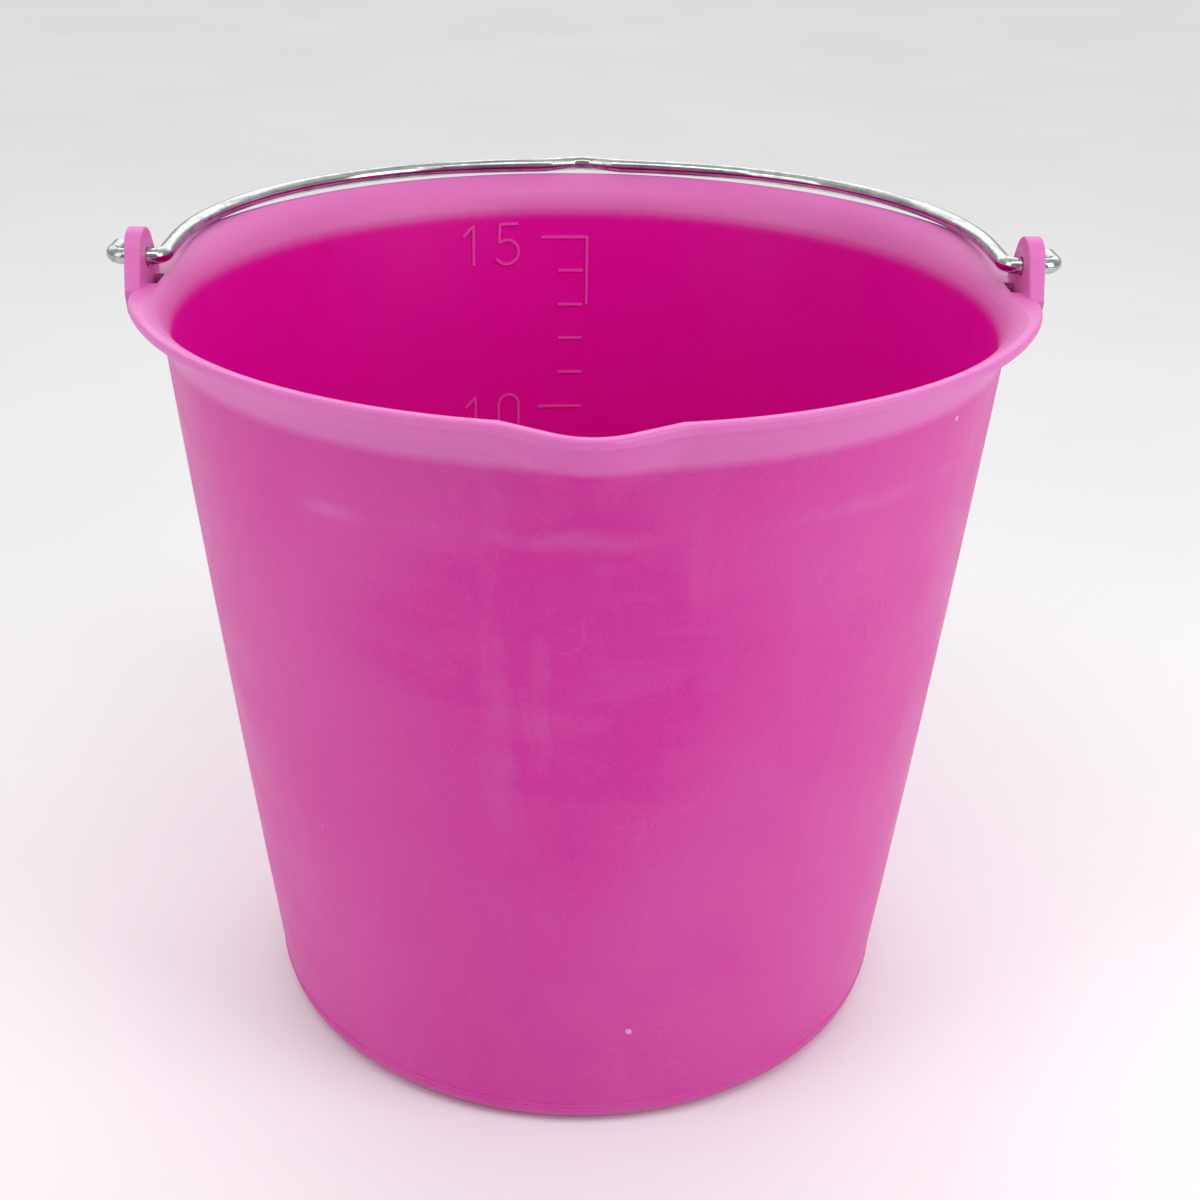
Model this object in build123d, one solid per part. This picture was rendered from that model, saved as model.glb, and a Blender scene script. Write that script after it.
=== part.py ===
from build123d import *
import math
import os

# A 15 litre milking pail: a moulded polyethylene pail with a flared rim, a
# pouring lip and two bail ears, and the loose wire bail that swings in them.
# Millimetres.  +Z is up, the origin is the middle of the base on the ground,
# the pouring lip points to -Y and the ears stand on the X axis.

# ---- pail body
rim_height = 290.5            # ground to the top of the rim
wall_top_radius = 151.8       # outside of the wall, carried up to the rim
wall_taper = 27.2             # the wall is narrower by this on the radius, carried down to the ground
wall_barrel = 0.9             # how far the wall bows outwards at half height
wall_thickness = 2.6
floor_thickness = 2.6
foot_height = 2.4             # the floor is raised by this inside the foot ring
foot_ring_width = 14.0
base_corner_radius = 9.0
seam_height = 10.5            # mould seam round the foot of the wall
seam_proud = 0.35
seam_root = 1.0               # how deep the seam's ridge is let into the wall
seam_slope = 2.0              # its sides run this far along the wall for each step outwards

# ---- rim
flare_reach = 6.6             # from the wall's outside, carried up, to the rim's inside edge
lip_width = 3.0
lip_depth = 3.6
lip_rounding = 1.2
flare_depth = 15.5            # the wall starts to turn outwards this far down

# ---- pouring lip
spout_reach = 10.5            # beyond the inside edge of the rim
spout_nose_radius = 20.0
spout_side_angle = 32.0       # the sides against the X axis, in degrees
spout_depth = 24.0
spout_inset = 1.0             # how far its foot runs into the wall
spout_plan_blend = 30.0       # where its sides run into the rim, seen from above
spout_wall_blend = 12.0       # where it runs into the wall below

# ---- ears and the dips of the rim beside them
ear_proud = 2.5               # the ears' round outer faces stand out past the rim
ear_thickness = 6.2
ear_radius = 10.6
ear_base_half_width = 17.0
ear_root_taper = 3.0          # the root is narrower than the base on each side
ear_edge_rounding = 0.7
ear_dip = 4.8                 # how far the rim drops at the ears
ear_dip_half_length = 70.0
ear_root_depth = 9.0          # the ear goes on below the rim by this
pocket_half_width = 6.5       # the pocket under the wire, inside each ear
pocket_length = 4.0
pivot_above_rim = 3.2

# ---- bail
wire_diameter = 5.8
wire_clearance = 0.5          # between the wire and the ear hole, on the radius
arm_gap = 2.3                 # between the arm and the inside face of the ear
crown_inset = 0.1             # the crown's wire lies this far inside the rim's outside edge
bail_side_angle = 71.0        # the side arcs turn this far, then the crown arc starts, in degrees
crown_offset = -30.0          # centre of the crown arc, from the pivot towards the crown
crown_height = 5.5            # the small peak at the middle of the crown
crown_half_width = 17.0
crown_foot_radius = 25.0
crown_peak_radius = 12.0
bend_radius = 5.6
hook_gap = 1.3                # straight wire between the ear and its hook
hook_length = 13.5
rest_clearance = 0.35         # above the rim, with the bail folded back

# ---- litre scale on the inside of the back wall
litre = 1.0e6
top_litre = 15
bottom_litre = 1
numbered_step = 5
mark_line = 1.1
mark_proud = 0.6
short_mark = 11.0
long_mark = 20.0
mark_side_gap = 1.2           # from the bracket to the marks below the top one
bracket_litres = 2            # the bracket hangs from the top mark
number_gap = 9.0              # between a long mark and its number
scale_offset = 2.0            # the bracket stands beside the middle of the back
mark_root = 0.4               # the marks are let into the wall by this
number_drop = 2.5             # the number's middle is below its mark
digit_height = 17.5
digit_width = 9.0
digit_pitch = 15.0
five_bowl = 0.3               # radius of the bowl of a 5, as a share of its height
five_inset = 1.0              # the upright of a 5 stands in from its bowl
five_turns = (130.0, -10.0, -150.0)   # start, middle and end of the bowl, in degrees
volume_step = 0.25            # slices of the inside volume, for the heights of the marks

# ---- worked out
base_radius = wall_top_radius - wall_taper
lip_inner_radius = wall_top_radius + flare_reach
pivot_z = rim_height + pivot_above_rim
wire_radius = wire_diameter / 2
floor_top = foot_height + floor_thickness
lip_outer_radius = lip_inner_radius + lip_width
ear_outer_radius = lip_outer_radius + ear_proud
ear_inner_x = ear_outer_radius - ear_thickness
bail_reach = lip_outer_radius - crown_inset
pocket_floor = ear_dip + ear_root_depth - wall_thickness
lip_underside = rim_height - lip_depth
above = 6.0                   # cutters stand past what they cut by this
seam_turn = 45.0              # where round faces close on themselves, in degrees
wall_share = 0.95             # just inside the wall, as a share of its radius
level = 1.0                   # edges that rise less than this are level
touching = 0.05               # points nearer than this are on the same line


def wall_radius(height):
    """Outside radius of the wall at a height."""
    share = height / rim_height
    straight = base_radius + (wall_top_radius - base_radius) * share
    return straight + 4 * wall_barrel * share * (1 - share)


def wall_lean(height):
    """Angle of the wall from the vertical at a height, in radians."""
    rise = wall_top_radius - base_radius
    return math.atan((rise + 4 * wall_barrel * (1 - 2 * height / rim_height)) / rim_height)


def polar(centre, radius, angle):
    return (centre[0] + radius * math.cos(angle), centre[1] + radius * math.sin(angle))


def revolved(edges):
    """A half section, drawn as radius and height, turned round the axis.

    The seam of the round faces is kept away from the ears, the lip and the scale.
    """
    return Rot(0, 0, seam_turn) * revolve(Plane.XZ * make_face(edges), Axis.Z)


# The flare is one arc, tangent to the inside of the wall and ending on the rim's edge.
flare_start_z = rim_height - flare_depth
flare_start = (wall_radius(flare_start_z) - wall_thickness, flare_start_z)
flare_run = lip_inner_radius - flare_start[0]
flare_lean = wall_lean(flare_start_z)
flare_turn = 2 * (math.atan2(flare_run, flare_depth) - flare_lean)
flare_radius = math.hypot(flare_run, flare_depth) / (2 * math.sin(flare_turn / 2))
flare_from = math.pi - flare_lean
flare_centre = polar(flare_start, flare_radius, -flare_lean)


def flare_arc(inset, end_angle):
    """The flare's arc, drawn in from its inside face by an inset."""
    angles = (flare_from, (flare_from + end_angle) / 2, end_angle)
    return ThreePointArc(*[polar(flare_centre, flare_radius + inset, angle) for angle in angles])


def wall_arc(inset, low, top_point):
    """The bowed wall from a height up to a point of the flare."""
    middle = (low + top_point.Y) / 2
    bottom = (wall_radius(low) - inset, low)
    return ThreePointArc(bottom, (wall_radius(middle) - inset, middle), top_point)


def outer_body():
    """Wall, flare and rim, filled to the axis."""
    reach = flare_radius - wall_thickness
    flare = flare_arc(-wall_thickness, math.pi - math.asin((lip_underside - flare_centre[1]) / reach))
    wall = wall_arc(0, 0, flare @ 0)
    edge = [(lip_outer_radius, lip_underside), (lip_outer_radius, rim_height), (0, rim_height)]
    body = revolved(wall + flare + Polyline(flare @ 1, *edge, (0, 0), wall @ 0))
    corner = body.edges().filter_by(GeomType.CIRCLE).sort_by(Axis.Z)[0]
    return fillet(corner, base_corner_radius)


def cavity(inset=0.0):
    """The inside space, or that space drawn in by an inset."""
    flare = flare_arc(inset, flare_from - flare_turn)
    bottom = floor_top + inset
    top = rim_height + above
    wall = wall_arc(wall_thickness + inset, bottom, flare @ 0)
    roof = Polyline(flare @ 1, ((flare @ 1).X, top), (0, top), (0, bottom), wall @ 0)
    space = revolved(wall + flare + roof)
    corner = space.edges().filter_by(GeomType.CIRCLE).sort_by(Axis.Z)[0]
    return fillet(corner, base_corner_radius - wall_thickness)


# The pouring lip in plan: a round nose between two straight sides.
nose_y = -(lip_inner_radius + spout_reach - spout_nose_radius)
side_angle = math.radians(spout_side_angle)


def spout_plan(offset):
    """Plan of the pouring lip, its inside moved outwards by an offset."""
    radius = spout_nose_radius + offset
    left = (-radius * math.sin(side_angle), nose_y - radius * math.cos(side_angle))
    right = (-left[0], left[1])
    tip = (0, nose_y - radius)
    run = lip_inner_radius / 3      # far enough to end inside the rim
    far_right = (right[0] + run * math.cos(side_angle), right[1] + run * math.sin(side_angle))
    far_left = (-far_right[0], far_right[1])
    return make_face(ThreePointArc(left, tip, right) + Polyline(right, far_right, far_left, left))


def spout_space(offset):
    """The pouring lip runs down and back into the wall along one slant."""
    back = spout_reach + lip_inner_radius - wall_radius(rim_height - spout_depth) + wall_thickness + spout_inset
    slant = Vector(0, back, -spout_depth)
    plan = Pos(0, 0, rim_height) * spout_plan(offset)
    return extrude(plan, amount=slant.length, dir=slant)


def rim_plan(offset):
    """Plan of the rim with its pouring lip, moved outwards by an offset."""
    plan = Rot(0, 0, seam_turn) * Circle(lip_inner_radius + offset) + spout_plan(offset)
    radius = lip_inner_radius + offset
    joints = [v for v in plan.vertices() if v.Y < 0 and abs(math.hypot(v.X, v.Y) - radius) < touching]
    return fillet(joints, spout_plan_blend - offset)


def dip_height(y):
    """Top of the rim beside the ears: two arcs that meet at the half length's middle."""
    radius = ear_dip_half_length ** 2 / (4 * ear_dip)
    if abs(y) < ear_dip_half_length / 2:
        return rim_height - ear_dip + y * y / (2 * radius)
    return rim_height - (ear_dip_half_length - abs(y)) ** 2 / (2 * radius)


def above_dip(side, drop):
    """Everything above the dip's curve across one ear, the curve lowered by a drop."""
    half = ear_dip_half_length
    stations = [half * step / 4 for step in (-4, -3, -2, 0, 2, 3, 4)]
    a, b, c, d, e, f, g = [(y, dip_height(y) - drop) for y in stations]
    top = rim_height + 2 * above
    curve = ThreePointArc(a, b, c) + ThreePointArc(c, d, e) + ThreePointArc(e, f, g)
    flat = make_face(curve + Polyline(g, (half, top), (-half, top), a))
    inner = side * math.sqrt(flare_start[0] ** 2 - half ** 2) * wall_share
    plane = Plane(origin=(inner, 0, 0), x_dir=(0, 1, 0), z_dir=(1, 0, 0))
    return extrude(plane * flat, amount=side * (lip_outer_radius + above) - inner)


def ear(side):
    """One upright ear plate, round at the top and wider at its root."""
    root = rim_height - ear_dip
    bottom = root - ear_root_depth
    width = ear_base_half_width
    tangent = math.atan2(pivot_z - root, width)
    reach = math.hypot(pivot_z - root, width)
    lift = math.acos(ear_radius / reach) - tangent
    right = (ear_radius * math.cos(lift), pivot_z + ear_radius * math.sin(lift))
    left = (-right[0], right[1])
    narrow = width - ear_root_taper
    base = [(width, root), (narrow, bottom), (-narrow, bottom), (-width, root)]
    flat = make_face(
        ThreePointArc(left, (0, pivot_z + ear_radius), right) + Polyline(right, *base, left)
    )
    plane = Plane(origin=(side * ear_inner_x, 0, 0), x_dir=(0, 1, 0), z_dir=(1, 0, 0))
    plate = extrude(plane * flat, amount=side * (ear_thickness + above))
    height = rim_height + pivot_above_rim + ear_radius + above
    around = Cylinder(ear_outer_radius, height, align=(Align.CENTER, Align.CENTER, Align.MIN))
    plate = plate & Rot(0, 0, seam_turn) * around
    outline = [e for e in plate.edges() if (e @ 0.5).Z > root + level and abs((e @ 0).X - (e @ 1).X) < level]
    return fillet(outline, ear_edge_rounding)


def rim_cylinder():
    tall = Cylinder(lip_outer_radius, rim_height, align=(Align.CENTER, Align.CENTER, Align.MIN))
    return Rot(0, 0, seam_turn) * tall


def blended(solid, top, radius):
    """The pouring lip's junction with the wall, rounded."""
    seams = []
    for edge in solid.edges().filter_by(GeomType.BSPLINE):
        box = edge.bounding_box()
        at_front = box.max.Y < -flare_start[0] * wall_share
        in_height = rim_height - spout_depth - above < box.min.Z and box.max.Z < top + touching
        if at_front and in_height and box.max.Z - box.min.Z > level:
            seams.append(edge)
    return fillet(seams, radius)


def rim_edges(shell):
    """The upper and lower outside edges of the rim, all the way round."""
    around = rim_plan(lip_width).wires()[0]
    found = []
    for edge in shell.edges():
        upright = abs((edge @ 0).Z - (edge @ 1).Z) > level and edge.geom_type == GeomType.LINE
        ends = [edge @ share for share in (0, 0.5, 1)]
        if not upright and all(around.distance_to(Vector(p.X, p.Y, 0)) < touching for p in ends):
            found.append(edge)
    return found


def pail_shell():
    """Wall, floor, flare, rim and pouring lip in one thickness."""
    hollow = blended(cavity() + spout_space(0), rim_height, spout_wall_blend)
    outside = outer_body() + spout_space(wall_thickness)
    outside = blended(outside, lip_underside, spout_wall_blend + wall_thickness)
    shell = outside + extrude(Pos(0, 0, lip_underside) * rim_plan(lip_width), amount=lip_depth)
    for side in (-1, 1):
        shell += above_dip(side, lip_depth) & rim_cylinder()
        shell -= above_dip(side, 0)
    shell -= hollow
    shell = fillet(rim_edges(shell), lip_rounding)
    recess = Cylinder(
        wall_radius(0) - foot_ring_width, foot_height, align=(Align.CENTER, Align.CENTER, Align.MIN)
    )
    return shell - recess + seam_ridge()


def seam_ridge():
    """The thin raised line round the foot of the wall where the mould closes."""
    radius = wall_radius(seam_height)
    root = radius - seam_root
    half = seam_slope * (seam_proud + seam_root)
    corners = [(root, seam_height - half), (radius + seam_proud, seam_height), (root, seam_height + half)]
    return revolved(Polyline(*corners, close=True))


def ear_hole(side):
    """The wire's hole through an ear."""
    drill = Cylinder(wire_radius + wire_clearance, ear_thickness + 2 * above)
    return Pos(side * (ear_inner_x + ear_thickness / 2), 0, pivot_z) * Rot(0, 90, 0) * drill


def pocket_block(side, wall):
    """The pocket's space between an ear and the wall, or with a wall the block that it is cut in."""
    low = rim_height - pocket_floor - wall
    inner = wall_radius(low) - wall_thickness / 2 if wall else ear_inner_x - pocket_length
    length = ear_inner_x + (ear_thickness / 2 if wall else 0) - inner
    height = rim_height - low + (0 if wall else above)
    block = Box(length, 2 * (pocket_half_width + wall), height)
    return Pos(side * (inner + length / 2), 0, low + height / 2) * block


# ---- litre scale
def mark_heights():
    """Height of each whole litre, from the volume below it inside the wall."""
    heights = {}
    volume = 0.0
    height = floor_top
    wanted = 1
    while wanted <= top_litre:
        volume += math.pi * (wall_radius(height) - wall_thickness) ** 2 * volume_step
        height += volume_step
        if volume >= wanted * litre:
            heights[wanted] = height
            wanted += 1
    return heights


def stroke(*edges):
    """A drawn line of the scale's own width."""
    return trace(Curve() + list(edges), mark_line)


def digit(figure, left, middle):
    """One figure of the scale, drawn in thin lines."""
    right, half = left + digit_width, digit_height / 2
    low, high = middle - half, middle + half
    radius = digit_width / 2
    centre = left + radius
    if figure == "1":
        flag = (centre - radius, high - radius)
        return stroke(Line((centre, low), (centre, high))) + stroke(Line(flag, (centre, high)))
    if figure == "0":
        left_side = Line((left, low + radius), (left, high - radius))
        right_side = Line((right, low + radius), (right, high - radius))
        over = ThreePointArc(left_side @ 1, (centre, high), right_side @ 1)
        under = ThreePointArc(left_side @ 0, (centre, low), right_side @ 0)
        return stroke(left_side) + stroke(right_side) + stroke(over) + stroke(under)
    bowl = digit_height * five_bowl
    bowl_centre = (centre - five_inset / 2, low + bowl)
    arc = ThreePointArc(*[polar(bowl_centre, bowl, math.radians(turn)) for turn in five_turns])
    corner = (left + five_inset, high)
    return stroke(Line(corner, (right, high))) + stroke(Line(corner, arc @ 0)) + stroke(arc)


def scale_drawing():
    """The whole scale, flat, as seen from the axis towards the back wall."""
    heights = mark_heights()
    near = -mark_side_gap
    top = heights[top_litre]
    drawing = stroke(Line((-long_mark, top), (mark_line, top)))
    drawing += stroke(Line((mark_line / 2, top), (mark_line / 2, heights[top_litre - bracket_litres])))
    for litres in range(bottom_litre, top_litre):
        length = short_mark if litres % numbered_step else long_mark
        drawing += stroke(Line((near, heights[litres]), (near - length, heights[litres])))
    for litres in range(numbered_step, top_litre + 1, numbered_step):
        figures = str(litres)
        left = near - long_mark - number_gap - digit_width
        for place, figure in enumerate(reversed(figures)):
            drawing += digit(figure, left - place * digit_pitch, heights[litres] - number_drop)
    return Pos(scale_offset, 0) * drawing


def litre_scale():
    """The scale as a thin raised pattern that follows the back wall."""
    plane = Plane(origin=(0, flare_start[0] / 2, 0), x_dir=(1, 0, 0), z_dir=(0, -1, 0))
    prism = extrude(plane * scale_drawing(), amount=-flare_start[0])
    rooted = cavity(-mark_root)
    return (prism & rooted) - cavity(mark_proud)


def pail():
    body = pail_shell()
    for side in (-1, 1):
        under = pocket_block(side, wall_thickness) - above_dip(side, 0) - cavity()
        body = body + (ear(side) + under - ear_hole(side)) - pocket_block(side, 0)
    return body + litre_scale()


arm_x = ear_inner_x - arm_gap - wire_radius
hook_x = ear_outer_radius + hook_gap + bend_radius
crown_radius = bail_reach - crown_offset
crown_foot = math.acos(crown_half_width / crown_radius)
crown_peak = (0, bail_reach + crown_height)


def half_bail(side):
    """One half of the bail's middle line, from the end of its hook to the crown's peak."""
    centre = (0, crown_offset)
    turn = math.radians(bail_side_angle)
    side_radius = (arm_x - crown_radius * math.cos(turn)) / (1 - math.cos(turn))
    side_centre = polar(centre, crown_radius - side_radius, turn)
    half_side = polar(side_centre, side_radius, turn / 2)
    joint = polar(centre, crown_radius, turn)
    half_crown = polar(centre, crown_radius, (turn + crown_foot) / 2)
    foot = polar(centre, crown_radius, crown_foot)
    bend = bend_radius * (1 - math.sqrt(0.5))

    def at(x, y):
        return (side * x, y)

    return [
        Line(at(hook_x, hook_length), at(hook_x, bend_radius)),
        ThreePointArc(at(hook_x, bend_radius), at(hook_x - bend, bend), at(hook_x - bend_radius, 0)),
        Line(at(hook_x - bend_radius, 0), at(arm_x + bend_radius, 0)),
        ThreePointArc(at(arm_x + bend_radius, 0), at(arm_x + bend, bend), at(arm_x, bend_radius)),
        Line(at(arm_x, bend_radius), at(arm_x, side_centre[1])),
        ThreePointArc(at(arm_x, side_centre[1]), at(*half_side), at(*joint)),
        ThreePointArc(at(*joint), at(*half_crown), at(*foot)),
        Line(at(*foot), crown_peak),
    ]


def bail():
    """One bent wire: hook, pin, arm, crown with its peak, and the same back again."""
    path = Wire(half_bail(1) + half_bail(-1)[::-1])
    foot = polar((0, crown_offset), crown_radius, crown_foot)
    corners = [(foot, crown_foot_radius), ((-foot[0], foot[1]), crown_foot_radius)]
    for (x, y), rounding in corners + [(crown_peak, crown_peak_radius)]:
        vertex = min(path.vertices(), key=lambda v: math.hypot(v.X - x, v.Y - y))
        path = path.fillet_2d(rounding, [vertex])
    start = Plane(origin=(hook_x, hook_length, 0), z_dir=(0, -1, 0))
    wire = sweep(start * Circle(wire_radius), path=path)
    lift = wire_radius + rest_clearance - pivot_above_rim
    nearest = ear_dip_half_length if lift > 0 else bail_reach
    tilt = math.asin(lift / nearest)
    return Pos(0, 0, pivot_z) * Rot(math.degrees(tilt), 0, 0) * wire


os.makedirs("parts", exist_ok=True)
for name, shape in (("pail", pail()), ("bail", bail())):
    solid = shape.solids()[0]
    print(name, "solids", len(shape.solids()), "volume", round(solid.volume), "valid", solid.is_valid)
    export_step(solid, f"parts/{name}.step")
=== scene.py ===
import math

import bpy
from mathutils import Matrix, Vector

# The milk pail in its studio: the moulded pail and its wire bail are the CAD's own
# meshes, and this script gives them their plastic and their plated wire, the floor,
# the light and the camera.  Metres, with the pouring lip towards -Y.

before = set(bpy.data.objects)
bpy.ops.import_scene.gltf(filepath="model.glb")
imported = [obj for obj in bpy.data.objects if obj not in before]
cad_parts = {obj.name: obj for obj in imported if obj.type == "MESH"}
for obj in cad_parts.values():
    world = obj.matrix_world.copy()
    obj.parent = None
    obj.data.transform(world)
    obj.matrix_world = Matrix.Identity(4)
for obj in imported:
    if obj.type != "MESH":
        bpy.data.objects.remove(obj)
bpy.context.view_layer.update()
scene = bpy.context.scene
scene.view_settings.view_transform = "Standard"

# ---- the pail's sizes that its finish follows
rim_height = 0.2905
inner_foot_radius = 0.1220            # inside of the wall, carried down to the ground
inner_rise = 0.0308                   # how much it opens out by the rim, before the bow
inner_bow = 0.0036                    # and how much the bow takes back there
floor_top = (0.0045, 0.005)
skin = (0.0006, 0.0014)               # the inside's colour ends this deep in the wall
flare_below_rim = (0.0195, 0.0150)    # the flare's painted sheen and rubbing fade in between these
flare_inner_radius = (0.1472, 0.1486)
foot_band = (0.003, 0.014)            # the foot is paler between the ground and here
scuff_ring_height = 0.250
scuff_ring_width = 0.0045
scuff_ring_wave = 0.003

# ---- the painted dark reflection under the pouring lip
patch_height = 0.205
patch_side = 0.004                    # its middle is this far to the left
patch_edge = (0.025, 0.098)
patch_front = (-0.115, -0.055)        # it fades out between these, along Y

# ---- the litre scale, as raised marks on the back wall
mark_face = (-0.00045, -0.0002)       # a mark's face stands this far inside the wall
mark_back = (0.05, 0.06)
mark_low = (0.02, 0.03)
mark_side = (0.070, 0.075)

# ---- colours
deep_magenta = ((0.60, 0.0015, 0.30, 1), (0.68, 0.004, 0.345, 1))
# the inside's colour is painted bounce light, purer and brighter than the outside's magenta
painted_bounce_magenta = ((0.72, 0.0, 0.34, 1), (0.78, 0.001, 0.38, 1))
# the pale pink of haze, of rubbing and of the flare's painted sheen
haze_and_sheen_pink = (0.80, 0.30, 0.66, 1)
mark_pink = (0.86, 0.16, 0.62, 1)
scratch_pink = (0.86, 0.45, 0.74, 1)
speck_pink = (0.92, 0.60, 0.82, 1)
clean_zinc = (0.62, 0.645, 0.63, 1)
cloudy_zinc = (0.42, 0.45, 0.445, 1)
drawn_line_grey = (0.20, 0.215, 0.225, 1)
# painted dark reflection on the wire's sides
painted_side_reflection_grey = (0.16, 0.17, 0.18, 1)
nick_black = (0.05, 0.05, 0.05, 1)
crown_nicks = (0.004, 0.011)          # the wire is nicked at the bend in the middle of its crown
floor_whites = ((0.90, 0.90, 0.905, 1), (0.93, 0.93, 0.93, 1))

floor_size = 40

# ---- the camera, turned about the pail's axis
camera_lens = 50.49
camera_shift = (0.0162, 0.0143)
camera_place = (0, -0.5999, 0.4549)
camera_turn = -0.81
camera_down = 26.98
camera_roll = 0.84


# ---------------------------------------------------------------- camera
def studio_camera():
    data = bpy.data.cameras.new("studio_camera")
    data.sensor_width = 36.0
    data.lens = camera_lens
    data.shift_x, data.shift_y = camera_shift
    data.clip_start = 0.01
    data.clip_end = 100.0
    camera = bpy.data.objects.new("studio_camera", data)
    scene.collection.objects.link(camera)
    turn = Matrix.Rotation(math.radians(camera_turn), 4, "Z")
    tilt = Matrix.Rotation(math.radians(90 - camera_down), 4, "X")
    roll = Matrix.Rotation(math.radians(camera_roll), 4, "Z")
    place = Matrix.Translation(camera_place)
    camera.matrix_world = turn @ place @ tilt @ roll
    scene.camera = camera


# ---------------------------------------------------------------- node helpers
class Sheet:
    """A node tree that is filled in one node at a time."""

    def __init__(self, tree):
        self.tree = tree
        self.column = 0

    def add(self, kind, inputs=None, **settings):
        node = self.tree.nodes.new(kind)
        node.location = (self.column * 180, -(self.column % 5) * 160)
        self.column += 1
        for key, value in settings.items():
            setattr(node, key, value)
        for key, value in (inputs or {}).items():
            self.put(node, key, value)
        return node

    def put(self, node, key, value):
        if isinstance(value, bpy.types.NodeSocket):
            self.tree.links.new(value, node.inputs[key])
        else:
            node.inputs[key].default_value = value

    def math(self, operation, a, b=0.0, clamp=False):
        return self.add("ShaderNodeMath", {0: a, 1: b}, operation=operation, use_clamp=clamp).outputs[0]

    def noise(self, where, scale, detail=2.0, roughness=0.5, stretch=(1, 1, 1)):
        if stretch != (1, 1, 1):
            where = self.add("ShaderNodeMapping", {"Vector": where, "Scale": stretch}).outputs[0]
        inputs = {"Vector": where, "Scale": scale, "Detail": detail, "Roughness": roughness}
        return self.add("ShaderNodeTexNoise", inputs).outputs["Fac"]

    def ramp(self, value, low, high, to_low=0.0, to_high=1.0):
        inputs = {"Value": value, "From Min": low, "From Max": high, "To Min": to_low, "To Max": to_high}
        node = self.add("ShaderNodeMapRange", inputs, interpolation_type="SMOOTHSTEP")
        return node.outputs["Result"]

    def mix(self, share, a, b):
        node = self.add("ShaderNodeMix", data_type="RGBA")
        self.put(node, 0, share)
        self.put(node, 6, a)
        self.put(node, 7, b)
        return node.outputs[2]

    def radius(self, place):
        """Distance from the pail's axis."""
        across = self.math("MULTIPLY", place[0], place[0])
        along = self.math("MULTIPLY", place[1], place[1])
        return self.math("SQRT", self.math("ADD", across, along))

    def without(self, value, mask):
        """A value taken away where a mask covers it."""
        return self.math("MULTIPLY", value, self.math("SUBTRACT", 1.0, mask))

    def bump(self, height, distance, strength=1.0, below=None):
        inputs = {"Height": height, "Distance": distance, "Strength": strength}
        if below is not None:
            inputs["Normal"] = below
        return self.add("ShaderNodeBump", inputs).outputs["Normal"]

    def group(self, made, **inputs):
        node = self.add("ShaderNodeGroup")
        node.node_tree = made
        for key, value in inputs.items():
            self.put(node, key, value)
        return node


def new_group(name, inputs, outputs):
    """An empty shader group with named sockets, and its first and last nodes."""
    tree = bpy.data.node_groups.new(name, "ShaderNodeTree")
    for title, kind, value in inputs:
        socket = tree.interface.new_socket(title, in_out="INPUT", socket_type=kind)
        if value is not None:
            socket.default_value = value
    for title, kind in outputs:
        tree.interface.new_socket(title, in_out="OUTPUT", socket_type=kind)
    sheet = Sheet(tree)
    return tree, sheet, sheet.add("NodeGroupInput").outputs, sheet.add("NodeGroupOutput")


def fine_scratch_group():
    """Thin scratches that run in two directions, as a mask."""
    inputs = [("Where", "NodeSocketVector", None), ("Density", "NodeSocketFloat", 60.0),
              ("Amount", "NodeSocketFloat", 0.5)]
    tree, sheet, given, out = new_group("fine_scratches", inputs, [("Mask", "NodeSocketFloat")])
    lines = None
    for turn, stretch in (((0.4, 0.3, 0.9), (1, 14, 1)), ((1.1, 0.2, 0.3), (1, 1, 11))):
        mapping = {"Vector": given["Where"], "Rotation": turn, "Scale": stretch}
        turned = sheet.add("ShaderNodeMapping", mapping)
        field = sheet.noise(turned.outputs[0], given["Density"], 1.0, 0.4)
        near = sheet.math("ABSOLUTE", sheet.math("SUBTRACT", field, 0.5))
        line = sheet.ramp(near, 0.0, 0.012, 1.0, 0.0)
        lines = line if lines is None else sheet.math("MAXIMUM", lines, line)
    patches = sheet.ramp(sheet.noise(given["Where"], 22.0, 2.0), 0.5, 0.68)
    mask = sheet.math("MULTIPLY", sheet.math("MULTIPLY", lines, patches), given["Amount"], clamp=True)
    sheet.put(out, "Mask", mask)
    return tree


def speck_group():
    """Small scattered specks, a few of every size, as a mask."""
    inputs = [("Where", "NodeSocketVector", None), ("Density", "NodeSocketFloat", 120.0),
              ("Share", "NodeSocketFloat", 0.05)]
    tree, sheet, given, out = new_group("scattered_specks", inputs, [("Mask", "NodeSocketFloat")])
    warp = sheet.add("ShaderNodeTexNoise", {"Vector": given["Where"], "Scale": 300.0, "Detail": 1.0})
    push = sheet.add("ShaderNodeVectorMath", {0: warp.outputs["Color"], "Scale": 0.0016}, operation="SCALE")
    where = sheet.add("ShaderNodeVectorMath", {0: given["Where"], 1: push.outputs[0]}, operation="ADD")
    cells = sheet.add("ShaderNodeTexVoronoi", {"Vector": where.outputs[0], "Scale": given["Density"]})
    chance = sheet.add("ShaderNodeSeparateColor", {0: cells.outputs["Color"]})
    few = sheet.math("LESS_THAN", chance.outputs[0], given["Share"])
    size = sheet.ramp(chance.outputs[1], 0.0, 1.0, 0.04, 0.13)
    near = sheet.math("LESS_THAN", cells.outputs["Distance"], size)
    sheet.put(out, "Mask", sheet.math("MULTIPLY", few, near))
    return tree


def new_material(name):
    material = bpy.data.materials.new(name)
    material.use_nodes = True
    sheet = Sheet(material.node_tree)
    shader = material.node_tree.nodes["Principled BSDF"]
    where = sheet.add("ShaderNodeTexCoord").outputs["Object"]
    return material, sheet, shader, where


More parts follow.
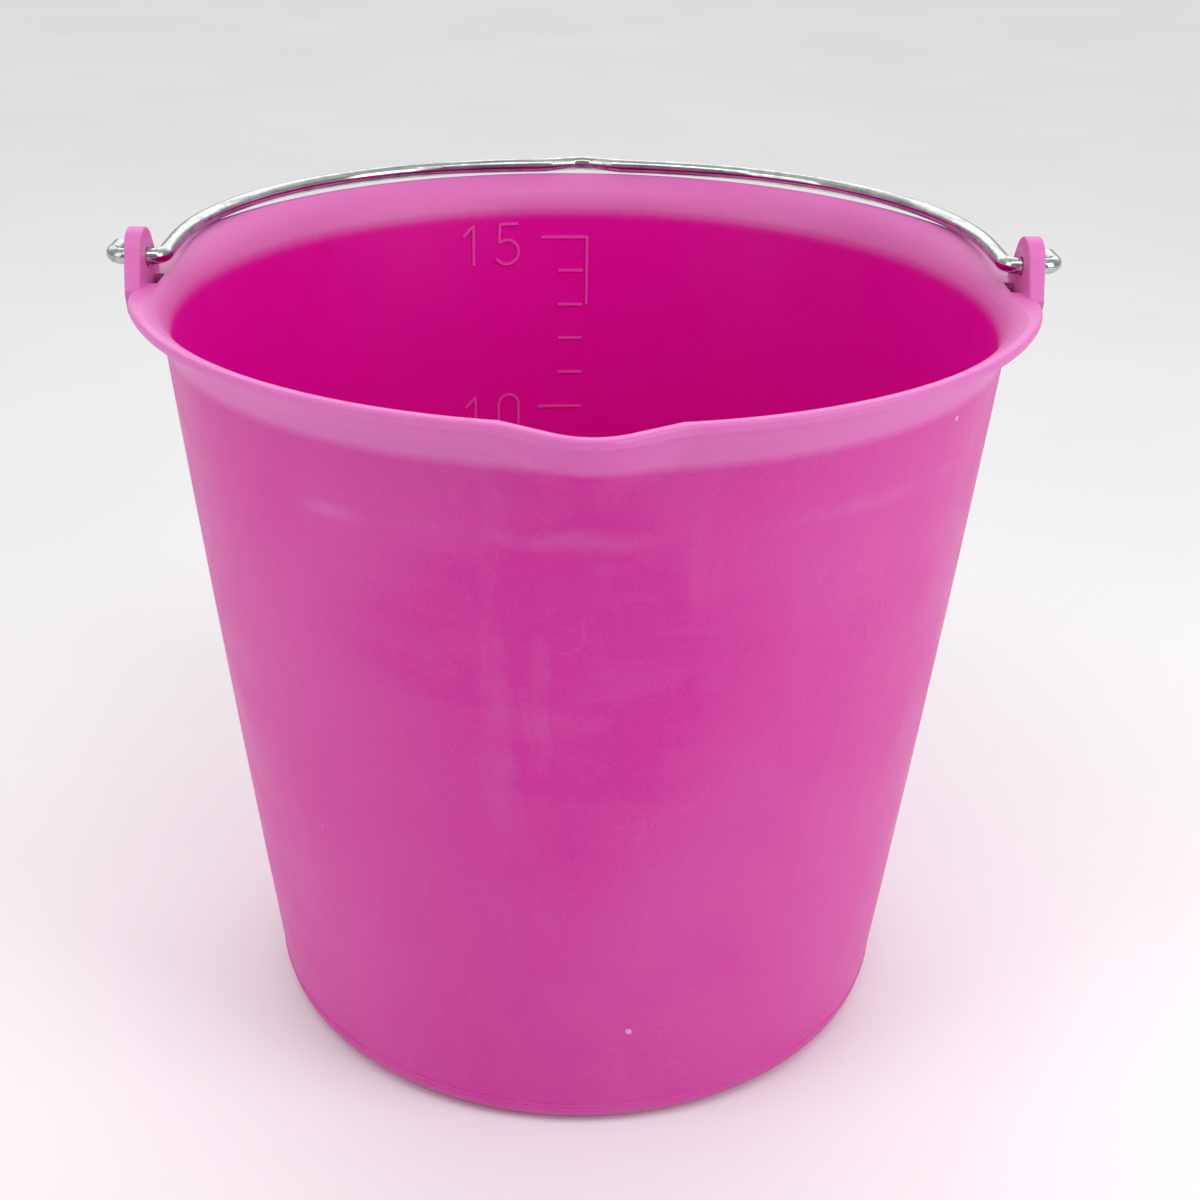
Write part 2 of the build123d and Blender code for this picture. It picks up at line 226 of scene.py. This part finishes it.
# ---------------------------------------------------------------- finishes
def moulded_polyethylene(scratches, specks):
    """Satin magenta polyethylene: mottled haze, mould streaks, scuffs, a rim paler from rubbing and painted
    sheen, a painted dark reflection under the lip and a painted purer magenta inside.
    """
    material, sheet, shader, where = new_material("magenta_polyethylene")
    place = sheet.add("ShaderNodeSeparateXYZ", {0: where}).outputs
    flat = sheet.radius(place)
    clouds = sheet.noise(where, 9.0, 3.0, 0.55)
    blotches = sheet.noise(where, 34.0, 4.0, 0.6)
    grain = sheet.noise(where, 900.0, 2.0, 0.65)
    bands = sheet.noise(where, 9.0, 3.0, 0.6, (1, 1, 9))
    drips = sheet.noise(where, 60.0, 3.0, 0.6, (1, 1, 0.14))

    # below the pouring lip a painted dark reflection of the darker room in front: the colour is painted
    # deeper and the surface a little glossier, in blotches, bands and short drips
    front = sheet.ramp(place[1], *patch_front, 1.0, 0.0)
    height = sheet.math("ABSOLUTE", sheet.math("SUBTRACT", place[2], patch_height))
    side = sheet.math("ABSOLUTE", sheet.math("ADD", place[0], patch_side))
    patch = sheet.math("ADD", sheet.math("MULTIPLY", height, 0.8), sheet.math("MULTIPLY", side, 1.1))
    patch = sheet.math("ADD", patch, sheet.ramp(clouds, 0.3, 0.7, 0.022, -0.022))
    patch = sheet.math("MULTIPLY", sheet.ramp(patch, *patch_edge, 1.0, 0.0), front)
    texture = sheet.ramp(blotches, 0.38, 0.66, 0.0, 0.55)
    texture = sheet.math("ADD", texture, sheet.ramp(bands, 0.42, 0.62, 0.0, 0.25))
    texture = sheet.math("ADD", texture, sheet.ramp(drips, 0.52, 0.74, 0.0, -0.3))
    painted_dark_reflection = sheet.math("MULTIPLY", patch, sheet.math("ADD", texture, 0.35), clamp=True)

    # haze: how milky the surface is, from clean and deep to rubbed and pale; further on it also carries the
    # flare's painted sheen
    haze_and_sheen = sheet.ramp(clouds, 0.32, 0.7, 0.12, 0.34)
    haze_and_sheen = sheet.math("ADD", haze_and_sheen, sheet.ramp(blotches, 0.35, 0.72, 0.0, 0.1))
    haze_and_sheen = sheet.math("ADD", haze_and_sheen, sheet.ramp(drips, 0.54, 0.78, 0.0, 0.1))
    # under the pouring lip the painted dark reflection also takes the haze away
    haze_and_sheen = sheet.math("SUBTRACT", haze_and_sheen, sheet.math("MULTIPLY", painted_dark_reflection, 0.5), clamp=True)

    # a faint rubbed ring where the rim of a stacked pail has sat, broken and a little wavy
    wave = sheet.ramp(sheet.noise(where, 14.0, 2.0), 0.3, 0.7, -scuff_ring_wave, scuff_ring_wave)
    above = sheet.math("SUBTRACT", sheet.math("ADD", place[2], wave), scuff_ring_height)
    ring = sheet.ramp(sheet.math("ABSOLUTE", above), 0.0, scuff_ring_width, 1.0, 0.0)
    ring = sheet.math("MULTIPLY", ring, sheet.ramp(clouds, 0.44, 0.64))
    ring = sheet.math("MULTIPLY", ring, sheet.ramp(blotches, 0.4, 0.62, 0.1, 0.55))
    haze_and_sheen = sheet.math("ADD", haze_and_sheen, ring)

    # the inside face of the wall bows a little: its radius at each height
    share = sheet.math("DIVIDE", place[2], rim_height)
    bow = sheet.math("MULTIPLY", sheet.math("MULTIPLY", share, share), -inner_bow)
    cone = sheet.math("ADD", sheet.math("MULTIPLY", share, inner_rise), inner_foot_radius)
    depth = sheet.math("SUBTRACT", flat, sheet.math("ADD", cone, bow))

    # the flare and the rim are painted paler, partly real rubbing and partly painted sheen where they face
    # the bright ceiling; the foot is paler near the ground, in blotches
    flare = sheet.ramp(place[2], *[rim_height - drop for drop in flare_below_rim])
    flare = sheet.math("MULTIPLY", flare, sheet.ramp(flat, *flare_inner_radius))
    foot = sheet.ramp(place[2], *foot_band, 1.0, 0.0)
    foot = sheet.math("MULTIPLY", foot, sheet.ramp(blotches, 0.35, 0.7))
    sheen_wear_and_pale_foot = sheet.math("ADD", sheet.math("MULTIPLY", flare, 0.72), sheet.math("MULTIPLY", foot, 0.3))

    # the inside is painted a purer, brighter magenta without the haze: painted bounce light, for the light
    # that gathers colour bouncing inside the pail
    inside = sheet.without(sheet.ramp(depth, *skin, 1.0, 0.0), flare)
    inside = sheet.math("MULTIPLY", inside, sheet.ramp(place[2], *floor_top))
    haze_and_sheen = sheet.without(haze_and_sheen, sheet.math("MULTIPLY", inside, 0.97))
    # the flare's rubbing and painted sheen, and the paler foot, join the haze
    haze_and_sheen = sheet.math("ADD", haze_and_sheen, sheen_wear_and_pale_foot, clamp=True)

    grainy = sheet.ramp(grain, 0.3, 0.7)
    deep = sheet.mix(grainy, *deep_magenta)
    # how far the colour goes to the pale pink: haze, rubbing and the flare's painted sheen
    haze_and_sheen_share = sheet.math("ADD", sheet.math("MULTIPLY", haze_and_sheen, 0.36), sheet.math("MULTIPLY", flare, 0.16))
    colour = sheet.mix(haze_and_sheen_share, deep, haze_and_sheen_pink)
    colour = sheet.mix(inside, colour, sheet.mix(grainy, *painted_bounce_magenta))

    # the raised marks of the litre scale catch the light
    marks = sheet.ramp(depth, *mark_face, 1.0, 0.0)
    marks = sheet.math("MULTIPLY", marks, sheet.ramp(place[1], *mark_back))
    marks = sheet.math("MULTIPLY", marks, sheet.ramp(place[2], *mark_low))
    across = sheet.math("ABSOLUTE", place[0])
    marks = sheet.math("MULTIPLY", marks, sheet.ramp(across, *mark_side, 1.0, 0.0))
    colour = sheet.mix(sheet.math("MULTIPLY", marks, 0.45), colour, mark_pink)

    # specks and faint scratches, on the outside only
    dots = sheet.group(specks, Where=where, Density=110.0, Share=0.010).outputs["Mask"]
    lines = sheet.group(scratches, Where=where, Density=30.0, Amount=0.5).outputs["Mask"]
    lines = sheet.math("MULTIPLY", sheet.without(lines, inside), 0.10)
    dots = sheet.math("MULTIPLY", sheet.without(dots, inside), 0.55)
    colour = sheet.mix(lines, colour, scratch_pink)
    colour = sheet.mix(dots, colour, speck_pink)
    sheet.put(shader, "Base Color", colour)

    rough = sheet.ramp(blotches, 0.3, 0.7, 0.34, 0.44)
    rough = sheet.math("ADD", rough, sheet.math("MULTIPLY", haze_and_sheen, 0.06))
    sheet.put(shader, "Roughness", rough)
    waves = sheet.noise(where, 26.0, 2.0, 0.5, (1, 1, 1.6))
    normal = sheet.bump(waves, 0.0008, 0.3)
    normal = sheet.bump(blotches, 0.00012, 0.5, normal)
    normal = sheet.bump(grain, 0.00004, 0.6, normal)
    sheet.put(shader, "Normal", normal)
    sheet.put(shader, "Specular IOR Level", sheet.ramp(inside, 0.0, 1.0, 0.5, 0.2))
    shader.inputs["IOR"].default_value = 1.51
    return material


def plated_wire(scratches, specks):
    """Bright zinc on drawn wire: lines along the wire, cloudy zinc, small dark nicks and a painted dark
    reflection along the sides turned from the camera.
    """
    material, sheet, shader, where = new_material("plated_wire")
    place = sheet.add("ShaderNodeSeparateXYZ", {0: where}).outputs
    flat = sheet.radius(place)
    slow = sheet.math("MULTIPLY", place[0], 0.02)
    along = sheet.add("ShaderNodeCombineXYZ", {0: flat, 1: place[2], 2: slow})
    drawn = sheet.noise(along.outputs[0], 620.0, 3.0, 0.65)
    clouds = sheet.noise(where, 120.0, 3.0, 0.6)
    dents = sheet.noise(where, 60.0, 1.0, 0.5)
    colour = sheet.mix(sheet.ramp(clouds, 0.35, 0.7), clean_zinc, cloudy_zinc)
    colour = sheet.mix(sheet.ramp(drawn, 0.46, 0.66, 0.0, 0.62), colour, drawn_line_grey)
    # painted dark reflection: where the wire turns away from the camera its colour is painted darker
    edge = sheet.add("ShaderNodeLayerWeight", {"Blend": 0.35}).outputs["Facing"]
    colour = sheet.mix(sheet.ramp(edge, 0.45, 0.95, 0.0, 0.75), colour, painted_side_reflection_grey)
    nicks = sheet.group(specks, Where=where, Density=420.0, Share=0.05).outputs["Mask"]
    bent = sheet.ramp(sheet.math("ABSOLUTE", place[0]), *crown_nicks, 1.0, 0.12)
    colour = sheet.mix(sheet.math("MULTIPLY", nicks, bent), colour, nick_black)
    sheet.put(shader, "Base Color", colour)
    lines = sheet.group(scratches, Where=where, Density=70.0, Amount=0.7).outputs["Mask"]
    rough = sheet.ramp(clouds, 0.35, 0.7, 0.09, 0.2)
    rough = sheet.math("ADD", rough, sheet.math("MULTIPLY", lines, 0.15))
    sheet.put(shader, "Roughness", rough)
    shader.inputs["Metallic"].default_value = 1.0
    normal = sheet.bump(dents, 0.0004, 0.5)
    normal = sheet.bump(drawn, 0.00006, 0.7, normal)
    sheet.put(shader, "Normal", normal)
    return material


def pale_floor_material():
    material, sheet, shader, where = new_material("pale_floor")
    cloud = sheet.noise(where, 3.0, 3.0, 0.5)
    colour = sheet.mix(sheet.ramp(cloud, 0.3, 0.7), *floor_whites)
    sheet.put(shader, "Base Color", colour)
    shader.inputs["Roughness"].default_value = 0.75
    return material


# ---------------------------------------------------------------- light and floor
def soft_light(name, place, aim, width, height, power):
    data = bpy.data.lights.new(name, "AREA")
    data.shape = "RECTANGLE"
    data.size = width
    data.size_y = height
    data.energy = power
    light = bpy.data.objects.new(name, data)
    scene.collection.objects.link(light)
    light.location = place
    light.rotation_euler = (Vector(aim) - Vector(place)).to_track_quat("-Z", "Y").to_euler()


def studio_world():
    """A bright ceiling, a pale horizon and a darker room in front of the pail."""
    world = bpy.data.worlds.new("studio_world")
    world.use_nodes = True
    scene.world = world
    sheet = Sheet(world.node_tree)
    where = sheet.add("ShaderNodeTexCoord").outputs["Generated"]
    way = sheet.add("ShaderNodeSeparateXYZ", {0: where}).outputs
    ceiling = sheet.ramp(way[2], 0.15, 0.85, 0.42, 0.68)
    front = sheet.ramp(way[1], -0.9, 0.2, 0.55, 1.0)
    window = sheet.math("MULTIPLY", sheet.ramp(way[1], 0.35, 0.85), sheet.ramp(way[2], 0.12, 0.35))
    bright = sheet.math("ADD", sheet.math("MULTIPLY", ceiling, front), sheet.math("MULTIPLY", window, 1.5))
    back = world.node_tree.nodes["Background"]
    sheet.put(back, "Strength", bright)
    back.inputs["Color"].default_value = (1.0, 1.0, 1.0, 1)


def studio():
    bpy.ops.object.select_all(action="DESELECT")
    bpy.ops.mesh.primitive_plane_add(size=floor_size)
    floor = bpy.context.object
    floor.name = "floor"
    floor.data.materials.append(pale_floor_material())
    studio_world()
    middle = (0, 0, 0.15)
    soft_light("left_softbox", (-0.95, -0.55, 0.75), middle, width=0.6, height=0.9, power=3.0)
    soft_light("right_softbox", (1.0, -0.6, 0.75), middle, width=0.6, height=0.9, power=5.6)
    soft_light("overhead_softbox", (0, -0.5, 1.4), (0, 0.1, 0.2), width=1.4, height=0.4, power=4.6)


studio_camera()
studio()
scratches = fine_scratch_group()
specks = speck_group()
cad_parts["pail"].material_slots[0].material = moulded_polyethylene(scratches, specks)
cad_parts["bail"].material_slots[0].material = plated_wire(scratches, specks)
